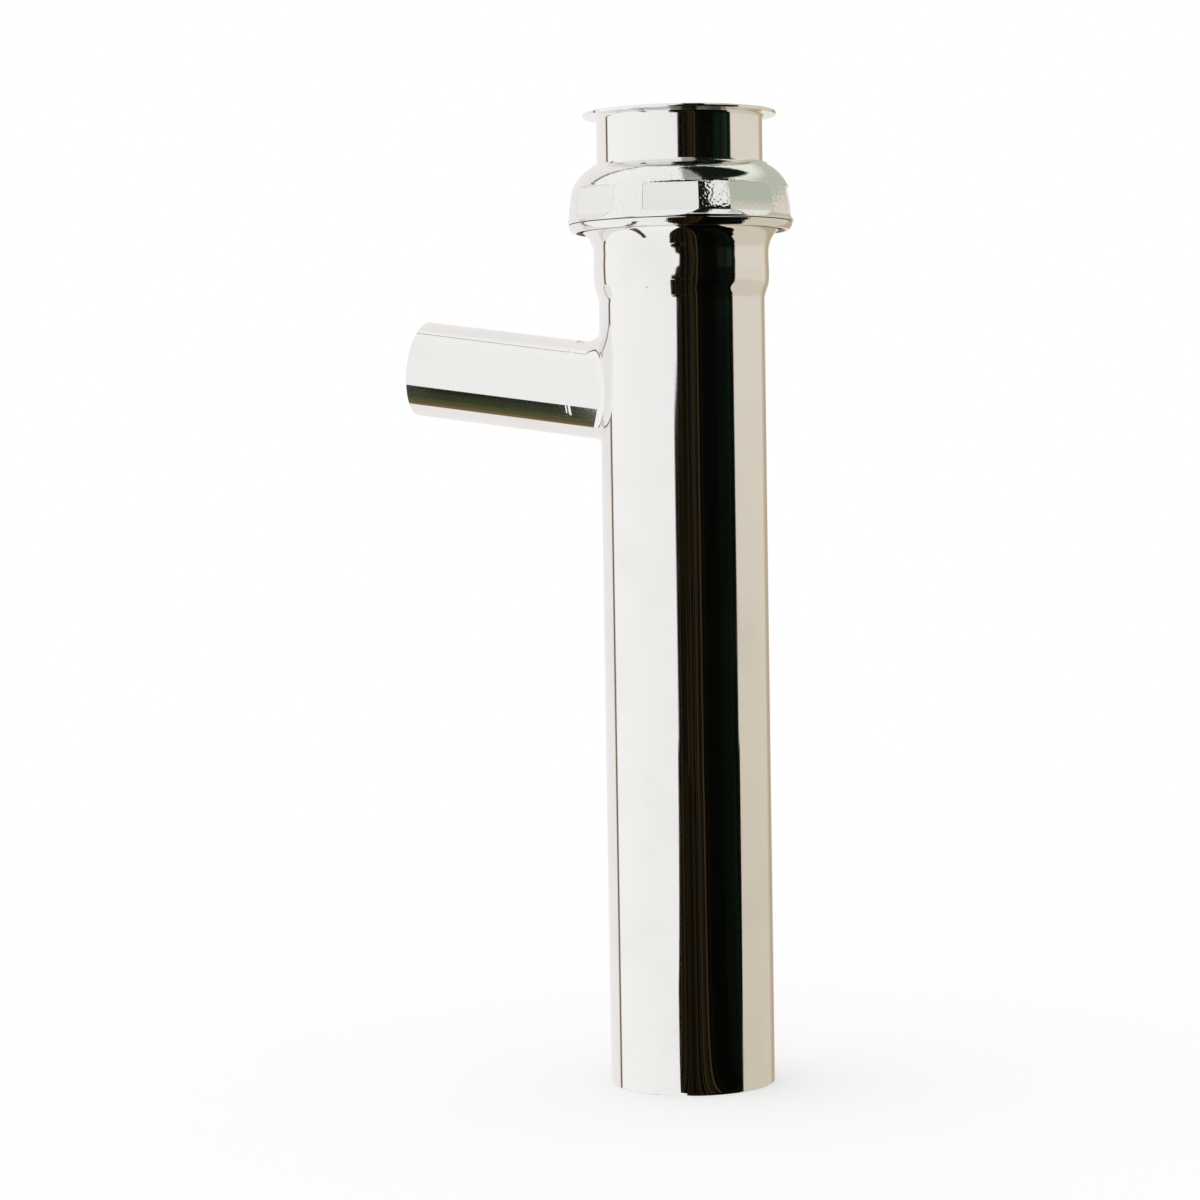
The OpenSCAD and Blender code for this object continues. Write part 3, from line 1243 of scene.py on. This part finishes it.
@dataclass(frozen=True)
class PlatedTube(Finish):
    """Bright chrome plate on drawn brass tube: die lines along it, a faint haze, bare brass deep inside."""

    name: str = "bright_chrome_plate"
    axis: Axis = Axis()
    near_end: float = 0.0
    far_end: float = 200.0
    tint: tuple = (0.87, 0.87, 0.862, 1.0)
    worn: tuple = (0.81, 0.805, 0.79, 1.0)
    brass: tuple = (0.66, 0.47, 0.22, 1.0)
    tarnish: tuple = (0.30, 0.17, 0.07, 1.0)

    def material(self) -> bpy.types.Material:
        """Makes the material."""
        material, net = self.start()
        place, outwards = self.lay(net, self.axis)
        inside = net.step(outwards, 0.0, -0.4)
        height = net.wire(net.node("ShaderNodeSeparateXYZ", None, {0: place}), 2)
        patches = net.noise(place, 0.018, 3.0)
        grain = net.noise(place, 0.0007, 3.0, 0.6)
        lines = net.noise(net.vector("MULTIPLY", place, (1, 1, 0.012)), 0.0011, 3.0, 0.62)
        broad = net.noise(net.vector("MULTIPLY", place, (1, 1, 0.05)), 0.009, 1.0)
        throw = net.noise(place, 0.004, 3.0) * 0.006 + 0.004
        bare = inside * net.step(height - self.near_end * MM - throw, 0.0, 0.004) \
            * net.step(self.far_end * MM - height - throw, 0.0, 0.004)
        skin = net.blend(net.step(patches, 0.45, 0.75) * 0.6 + (grain - 0.5) * 0.35, self.tint, self.worn)
        metal = net.blend(net.step(net.noise(place, 0.006, 5.0, 0.65), 0.35, 0.75), self.brass, self.tarnish)
        rough = 0.035 + net.step(patches, 0.4, 0.8) * 0.03 + grain * 0.02
        normal = net.bump(broad, 6.0e-6)
        normal = net.bump(lines, 1.1e-6, normal)
        normal = net.bump(grain, 0.35e-6, normal)
        self.end(net, {
            "Base Color": net.blend(bare, skin, metal),
            "Metallic": 1.0,
            "Roughness": rough * (1 - bare) + bare * (0.30 + patches * 0.25),
            "Normal": normal,
        })
        return material


@dataclass(frozen=True)
class PlatedCasting(Finish):
    """Chrome plate on a cast nut: a pebbled skin, ground flats, a dull thread inside darkened by painted shade, and a
    line of painted shade in the rim's crease.
    """

    name: str = "cast_chrome_plate"
    tint: tuple = (0.85, 0.856, 0.84, 1.0)
    flat_tint: tuple = (0.805, 0.81, 0.795, 1.0)
    dull: tuple = (0.70, 0.71, 0.69, 1.0)
    # Near-black for the faces that look in towards the axis: dull bare metal, darkened further with painted shade for
    # the nut's inside.
    inner: tuple = (0.16, 0.15, 0.13, 1.0)
    # Dark brown of the painted shade in the rim's crease.
    crease_shade: tuple = (0.12, 0.08, 0.04, 1.0)

    def material(self) -> bpy.types.Material:
        """Makes the material."""
        material, net = self.start()
        place, outwards = self.lay(net, Axis())
        inside = net.step(outwards, -0.05, -0.3)
        ground = net.wire(net.node("ShaderNodeAttribute", {"attribute_name": "ground"}), "Fac")
        cast = 1 - ground
        pebbles = net.noise(place, 0.0006, 0.5, 0.5)
        speckle = net.noise(place, 0.00025, 3.0, 0.6)
        swell = net.noise(place, 0.005, 2.0)
        height = net.wire(net.node("ShaderNodeSeparateXYZ", None, {0: place}), 2)
        radius = net.vector("LENGTH", net.vector("MULTIPLY", place, (1, 1, 0)))
        # Painted shade: a thin dark brown line in the crease under the rim's bead, where the nut's foot meets the
        # tube.
        crease = net.span(height, 198.24 * MM, 198.4 * MM, 0.04 * MM) * net.step(radius, 25.76 * MM, 25.68 * MM)
        side = 0.25 + net.span(height, 200.2 * MM, 206.4 * MM, 0.8 * MM) * 1.75
        skin = net.blend(ground, self.tint, self.flat_tint)
        skin = net.blend(net.step(pebbles, 0.5, 0.8) * cast * 0.4, skin, self.dull)
        skin = net.blend(crease, skin, self.crease_shade)
        normal = net.bump(swell * (0.25 + cast * 0.75), 2.4e-5)
        normal = net.bump(pebbles * side * (0.3 + cast * 0.7), 3.6e-5, normal)
        normal = net.bump(speckle, 0.5e-5, normal)
        self.end(net, {
            # Inward-facing faces get the near-black colour: a dull finish plus painted shade inside the nut.
            "Base Color": net.blend(inside, skin, self.inner),
            "Metallic": 1.0,
            "Roughness": 0.05 + speckle * 0.05 + ground * 0.05 + inside * 0.35,
            "Normal": normal,
        })
        return material


@dataclass(frozen=True)
class BlackRubber(Finish):
    """Moulded black rubber with a bloom and a fine grain."""

    name: str = "moulded_rubber"
    fresh: tuple = (0.018, 0.018, 0.019, 1.0)
    bloom: tuple = (0.055, 0.053, 0.050, 1.0)

    def material(self) -> bpy.types.Material:
        """Makes the material."""
        material, net = self.start()
        place, _ = self.lay(net, Axis())
        patches = net.noise(place, 0.007, 4.0, 0.6)
        grain = net.noise(place, 0.0003, 2.0)
        self.end(net, {
            "Base Color": net.blend(net.step(patches, 0.35, 0.75), self.fresh, self.bloom),
            "Roughness": 0.48 + patches * 0.25,
            "Normal": net.bump(grain, 2.0e-5),
        })
        return material


# Stage


@dataclass(frozen=True)
class PhotoCamera:
    """The camera, placed and turned as in the photograph."""

    place: tuple[float, float, float] = (0.2253, -0.6901, 0.1475)
    right: tuple[float, float, float] = (0.94187, 0.33559, -0.01610)
    ahead: tuple[float, float, float] = (-0.33592, 0.94063, -0.04868)
    lens: float = 94.26

    def build(self) -> bpy.types.Object:
        """Makes the camera and gives it to the scene."""
        data = bpy.data.cameras.new("photo_camera")
        data.lens = self.lens
        data.sensor_width = 36
        data.clip_start, data.clip_end = 0.01, 20
        camera = bpy.data.objects.new("photo_camera", data)
        bpy.context.scene.collection.objects.link(camera)
        ahead = Vector(self.ahead).normalized()
        right = (Vector(self.right) - ahead * Vector(self.right).dot(ahead)).normalized()
        up = right.cross(ahead)
        camera.matrix_world = Matrix.Translation(self.place) @ Matrix((right, up, -ahead)).transposed().to_4x4()
        bpy.context.scene.camera = camera
        return camera


@dataclass(frozen=True)
class Surroundings:
    """The studio's pale walls and dark cards, as the plating shows them.

    Places are given as turn and tilt in degrees: turn 0 is the front of the studio, positive to the right.
    """

    front: tuple[float, float, float] = (0.3104, -0.9506, 0.0)
    right: tuple[float, float, float] = (0.9506, 0.3104, 0.0)
    gain: float = 1.15

    def light(self, net: Net) -> Wire:
        """Colour of the studio in every direction.

        Args:
            net: the world's nodes.

        Returns:
            The colour.
        """
        ray = net.wire(net.node("ShaderNodeTexCoord"), "Generated")
        to_degrees = 180 / math.pi
        turn = net.maths("ARCTAN2", net.vector("DOT_PRODUCT", ray, self.right),
                         net.vector("DOT_PRODUCT", ray, self.front)) * to_degrees
        tilt = net.maths("ARCSINE", net.vector("DOT_PRODUCT", ray, (0, 0, 1))) * to_degrees
        colour = self.walls(net, turn, tilt)
        colour = self.cards(net, colour, turn, tilt)
        return self.low_card(net, colour, ray)

    def tone(self, red: float, green: float, blue: float) -> tuple[float, float, float, float]:
        """Light of a surface that the plating shows in this colour."""
        return display(red, green, blue, self.gain)

    def walls(self, net: Net, turn: Wire, tilt: Wire) -> Wire:
        """Pale walls, left and right, and the ceiling.

        Args:
            net: the world's nodes.
            turn: turn of the direction in degrees.
            tilt: its tilt in degrees.

        Returns:
            The colour.
        """
        left = net.blend(net.step(turn, -118, -11), self.tone(241, 240, 239), self.tone(236, 235, 234))
        left = net.blend(net.step(turn, -118, -124), left, self.tone(232, 228, 227))
        beige = net.blend(net.step(tilt, -11, 6), self.tone(203, 193, 177), self.tone(215, 207, 194))
        beige = net.blend(net.step(turn, 138, 152), beige, self.tone(178, 160, 137))
        beige = net.blend(net.step(turn, 164, 172), beige, self.tone(222, 218, 210))
        upper = net.blend(net.step(tilt, 30, 46), self.tone(180, 184, 169), self.tone(228, 230, 222))
        pane = net.span(turn, 30, 54, 3) * net.span(tilt, 8, 46, 3)
        upper = net.blend(pane, upper, self.tone(232, 232, 227))
        right = net.blend(net.step(tilt, 9, 14), beige, upper)
        colour = net.blend(net.step(turn, 20, 24), left, right)
        return net.blend(net.step(tilt, 66, 72), colour, self.tone(238, 238, 235))

    def cards(self, net: Net, colour: Wire, turn: Wire, tilt: Wire) -> Wire:
        """Dark cards before the pale walls, and the dark edge between two of the walls.

        Args:
            net: the world's nodes.
            colour: colour of the walls.
            turn: turn of the direction in degrees.
            tilt: its tilt in degrees.

        Returns:
            The colour.
        """
        dark = self.ink(net, turn, tilt)
        lean = net.step(tilt, 0.2, 1.8) * 5.5 + net.step(tilt, 2.4, 4.5) * 5 + net.step(tilt, -6, -16) * 6
        reach = net.step(tilt, -30, -45) * 12 + net.step(tilt, -44, -60) * 30 + net.step(tilt, -60, -72) * 75
        card = net.step(turn - lean, -14, -12) * net.step(turn - reach, 76, 74) * net.step(tilt, 11, 9)
        post = net.span(turn, 4, 31, 2) * net.span(tilt, 8, 44, 2)
        hood = net.span(turn, 30, 114, 5) * net.step(tilt, 45, 48)
        haze = net.span(turn, 4, 34, 6) * net.step(tilt, 50, 54)
        colour = net.blend(card, colour, dark)
        colour = net.blend(haze * 0.7, colour, self.tone(60, 68, 56))
        colour = net.blend(net.maths("MAXIMUM", post, hood), colour, self.tone(14, 20, 13))
        shift = net.step(tilt, 50, 75) * 6
        edge = net.span(turn + shift, -123.5, -118.5, 3) * net.span(tilt, -30, 80, 4)
        return net.blend(edge, colour, self.tone(112, 92, 66))

    def ink(self, net: Net, turn: Wire, tilt: Feed) -> Wire:
        """The cards' dark, in fine upright streaks: brown on the left, green on the right.

        Args:
            net: the nodes of the world or of a card.
            turn: turn of the direction in degrees.
            tilt: its tilt in degrees.

        Returns:
            The colour.
        """
        across = net.wire(net.node("ShaderNodeCombineXYZ", None, {0: turn, 1: tilt * 0.03}))
        fine, broad = net.noise(across, 3.6, 4.0, 0.7), net.noise(across, 11.0, 2.0)
        brown = net.step(fine, 0.45, 0.6) * net.span(turn, -16, 26, 10) * (net.step(broad, 0.42, 0.58) * 0.7 + 0.3)
        dark = net.blend(brown, self.tone(4, 4, 3), self.tone(62, 51, 31))
        green = net.step(fine, 0.4, 0.65) * net.span(turn, 50, 76, 10) * (net.step(tilt, 2.2, 3.2) * 0.7 + 0.3)
        return net.blend(green, dark, self.tone(30, 48, 33))

    def low_card(self, net: Net, colour: Wire, ray: Wire) -> Wire:
        """The dark card low on the left, which only the branch shows.

        Args:
            net: the world's nodes.
            colour: colour of the rest.
            ray: the direction.

        Returns:
            The colour.
        """
        line = BranchLine()
        along = net.vector("DOT_PRODUCT", ray, line.along)
        around = net.maths("ARCTAN2", net.vector("DOT_PRODUCT", ray, (0, -1, 0)),
                           net.vector("DOT_PRODUCT", ray, -line.up)) * (180 / math.pi)
        cut = net.step(along, 0.336, 0.3295) * 36
        card = net.span(along, 0.323, 0.408, 0.006) * net.step(around, -9.6, -8.2) * net.step(around + cut, 47.7, 46.3)
        mottle = net.noise(ray, 0.05, 4.0, 0.7) * 0.5 + net.noise(ray, 0.01, 3.0, 0.7) * 0.5
        ramp = net.node("ShaderNodeValToRGB", {"stops": [
            (0.0, self.tone(150, 108, 72)), (0.06, self.tone(120, 100, 66)), (0.2, self.tone(92, 88, 56)),
            (0.5, self.tone(62, 66, 42)), (0.85, self.tone(40, 46, 30)), (1.0, self.tone(20, 24, 15))]},
            {0: (around + 9) / 56})
        shade = net.blend(net.step(mottle, 0.42, 0.66) * 0.6, net.wire(ramp), self.tone(24, 30, 18))
        return net.blend(card, colour, shade)


@dataclass(frozen=True)
class Stage:
    """Floor and light of the studio."""

    half: float = 4.0
    level: float = 0.85
    floor_tone: float = 0.92
    card_corners: tuple[Point, ...] = ((20.9, -3.5), (151.0, -47.0), (850.0, -212.0), (212.0, 840.0), (17.8, 12.0))

    def build(self) -> None:
        """Makes the floor and the world's light."""
        Workbench.put_down()
        bpy.ops.mesh.primitive_plane_add(size=self.half * 2, location=(0, 0, 0))
        floor = bpy.context.object
        floor.name = "studio_floor"
        floor.data.materials.append(self.floor_material())
        floor.visible_glossy = False
        self.lay_card()
        self.light_world()
        bpy.context.scene.view_settings.view_transform = "Standard"

    def lay_card(self) -> None:
        """Lays the dark card in front of the tube's foot, which only the plating shows."""
        studio = Surroundings()
        front, right = Vector(studio.front), Vector(studio.right)
        Workbench.put_down()
        count = len(self.card_corners)
        bpy.ops.mesh.primitive_circle_add(vertices=count, radius=1, fill_type="NGON", location=(0, 0, 0))
        card = bpy.context.object
        card.name = "front_card"
        for corner, (ahead, aside) in zip(card.data.vertices, self.card_corners):
            corner.co = (front * ahead + right * aside) * MM + Vector((0, 0, 0.0003))
        material = bpy.data.materials.new("dark_card")
        material.use_nodes = True
        net = Net(material.node_tree)
        place = net.wire(net.node("ShaderNodeTexCoord"), "Object")
        turn = net.maths("ARCTAN2", net.vector("DOT_PRODUCT", place, studio.right),
                         net.vector("DOT_PRODUCT", place, studio.front)) * (180 / math.pi)
        dark = net.node("ShaderNodeEmission", None, {"Color": studio.ink(net, turn, 0.0), "Strength": 1.0})
        net.node("ShaderNodeOutputMaterial", None, {"Surface": net.wire(dark)})
        card.data.materials.append(material)
        for kind in ("camera", "diffuse", "transmission", "volume_scatter", "shadow"):
            setattr(card, f"visible_{kind}", False)

    def floor_material(self) -> bpy.types.Material:
        """A pale floor that reads white to the camera and keeps the shadow."""
        material = bpy.data.materials.new("pale_floor")
        material.use_nodes = True
        net = Net(material.node_tree)
        seen = net.wire(net.node("ShaderNodeLightPath"), "Is Camera Ray")
        tone = (self.floor_tone, self.floor_tone, self.floor_tone, 1)
        plain = net.node("ShaderNodeBsdfDiffuse", None, {"Color": tone})
        lift = net.node("ShaderNodeEmission", None, {"Strength": seen * (1 - self.level * self.floor_tone)})
        both = net.node("ShaderNodeAddShader", None, {0: net.wire(plain), 1: net.wire(lift)})
        net.node("ShaderNodeOutputMaterial", None, {"Surface": net.wire(both)})
        return material

    def light_world(self) -> None:
        """Gives the world its plain light, its white background and what the plating shows."""
        world = bpy.data.worlds.new("studio")
        bpy.context.scene.world = world
        world.use_nodes = True
        net = Net(world.node_tree)
        path = net.node("ShaderNodeLightPath")
        plain = (self.level, self.level, self.level, 1)
        shown = net.blend(net.wire(path, "Is Glossy Ray"), plain, Surroundings().light(net))
        shown = net.blend(net.wire(path, "Is Camera Ray"), shown, (1, 1, 1, 1))
        background = net.node("ShaderNodeBackground", None, {"Color": shown, "Strength": 1.0})
        net.node("ShaderNodeOutputWorld", None, {"Surface": net.wire(background)})


# Assembly


def settle(piece: bpy.types.Object, node: str, body: Body, finish: bpy.types.Material) -> None:
    """Puts a finished piece in the place of its CAD node.

    Args:
        piece: the finished piece.
        node: the CAD node that it stands for.
        body: the body that it rides on.
        finish: its material.
    """
    piece.data.materials.clear()
    piece.data.materials.append(finish)
    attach(piece, body.value)
    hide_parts(node)
    corners = [corner.co for corner in piece.data.vertices]
    low = [min(c[i] for c in corners) / MM for i in range(3)]
    high = [max(c[i] for c in corners) / MM for i in range(3)]
    LOG.info("%s stands for %s: %d faces, low %s, high %s", piece.name, node, len(piece.data.polygons),
             [round(v, 3) for v in low], [round(v, 3) for v in high])


def build_all() -> None:
    """Builds the stage, the camera and every piece, in order."""
    logging.basicConfig(level=logging.INFO, format="%(name)s: %(message)s")
    PhotoCamera().build()
    Stage().build()
    body_plate = PlatedTube(near_end=0, far_end=203.2).material()
    branch_plate = PlatedTube("branch_chrome_plate", BranchLine().axis(), -500, 65).material()
    inlet_plate = PlatedTube("inlet_chrome_plate", near_end=184, far_end=223.66).material()
    settle(DrainTube().build(), "body_tube", Body.DRAIN, body_plate)
    settle(BranchTube().build(), "branch_tube", Body.DRAIN, branch_plate)
    settle(BrazeBead().build(), "braze_fillet", Body.DRAIN, branch_plate)
    settle(SlipNut().build(), "slip_nut", Body.NUT, PlatedCasting().material())
    settle(SlipWasher().build(), "slip_washer", Body.WASHER, BlackRubber().material())
    settle(InletTube().build(), "flanged_tailpiece", Body.INLET, inlet_plate)


if __name__ == "__main__":
    build_all()
